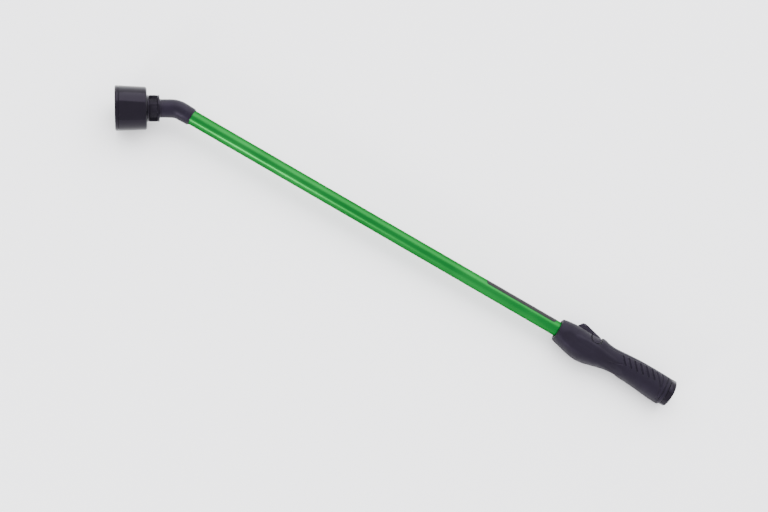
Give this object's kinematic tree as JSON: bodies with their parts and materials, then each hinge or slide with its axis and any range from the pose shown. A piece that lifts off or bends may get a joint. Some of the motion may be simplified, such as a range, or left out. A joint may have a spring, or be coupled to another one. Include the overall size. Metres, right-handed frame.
{
  "type": "watering wand",
  "caption": "Long-tube watering wand with an angled round breaker head, a grip with a thumb rocker valve and a swivel hose coupling.",
  "frame": {"origin": "middle of the box's lowest face; the wand lies on its side, so this is below the middle of the tube's length", "axes": "+X along the tube from the water breaker to the hose end, +Y towards the thumb side, +Z square to the plane of the bend"},
  "size_m": [0.7964, 0.0878, 0.0567],
  "materials": {
    "black_plastic": "moulded black ABS, satin to gloss",
    "core_plastic": "moulded black acetal",
    "grip_rubber": "soft-touch thermoplastic rubber, matte purple-black",
    "seal_rubber": "moulded nitrile rubber",
    "green_tube": "drawn aluminium, green anodised, satin",
    "label_film": "plain black film",
    "steel": "stainless steel, as rolled",
    "brass": "turned brass"
  },
  "bodies": {
    "wand": {"breaker_shell": "black_plastic", "face_ring": "black_plastic", "breaker_face": "black_plastic", "diffuser_disc": "steel", "head_washer": "seal_rubber", "elbow": "black_plastic", "elbow_o_ring_1": "seal_rubber", "elbow_o_ring_2": "seal_rubber", "tube": "green_tube", "tube_label": "label_film", "handle_core": "core_plastic", "grip_sleeve": "grip_rubber", "end_cap": "black_plastic", "tube_bush": "core_plastic", "tube_grip_ring": "steel", "tube_o_ring_1": "seal_rubber", "tube_o_ring_2": "seal_rubber", "valve_seat": "brass", "rocker_pin": "steel", "swivel_circlip": "steel", "inlet_screen": "steel"},
    "thumb_rocker": {"thumb_rocker": "grip_rubber", "rocker_pad": "grip_rubber"},
    "valve_spool": {"valve_spool": "core_plastic", "seat_seal": "seal_rubber", "spool_o_ring_1": "seal_rubber", "spool_o_ring_2": "seal_rubber"},
    "hose_swivel": {"hose_swivel": "black_plastic", "hose_washer": "seal_rubber"}
  },
  "joints": [
    {"name": "rocker_hinge", "type": "hinge", "parent": "wand", "child": "thumb_rocker", "pos_m": [0.27178, 0.03174, 0.02835], "axis": [0, 0, 1], "range_deg": [0, 16]},
    {"name": "spool_slide", "type": "slide", "parent": "wand", "child": "valve_spool", "axis": [1, 0, 0], "range_m": [0, 0.0025]},
    {"name": "swivel_hinge", "type": "hinge", "parent": "wand", "child": "hose_swivel", "pos_m": [0.39018, 0.02074, 0.02835], "axis": [1, 0, 0], "continuous": true}
  ],
  "couplings": [
    {"joint": "spool_slide", "follows": "rocker_hinge", "m_per_rad": 0.00847}
  ]
}
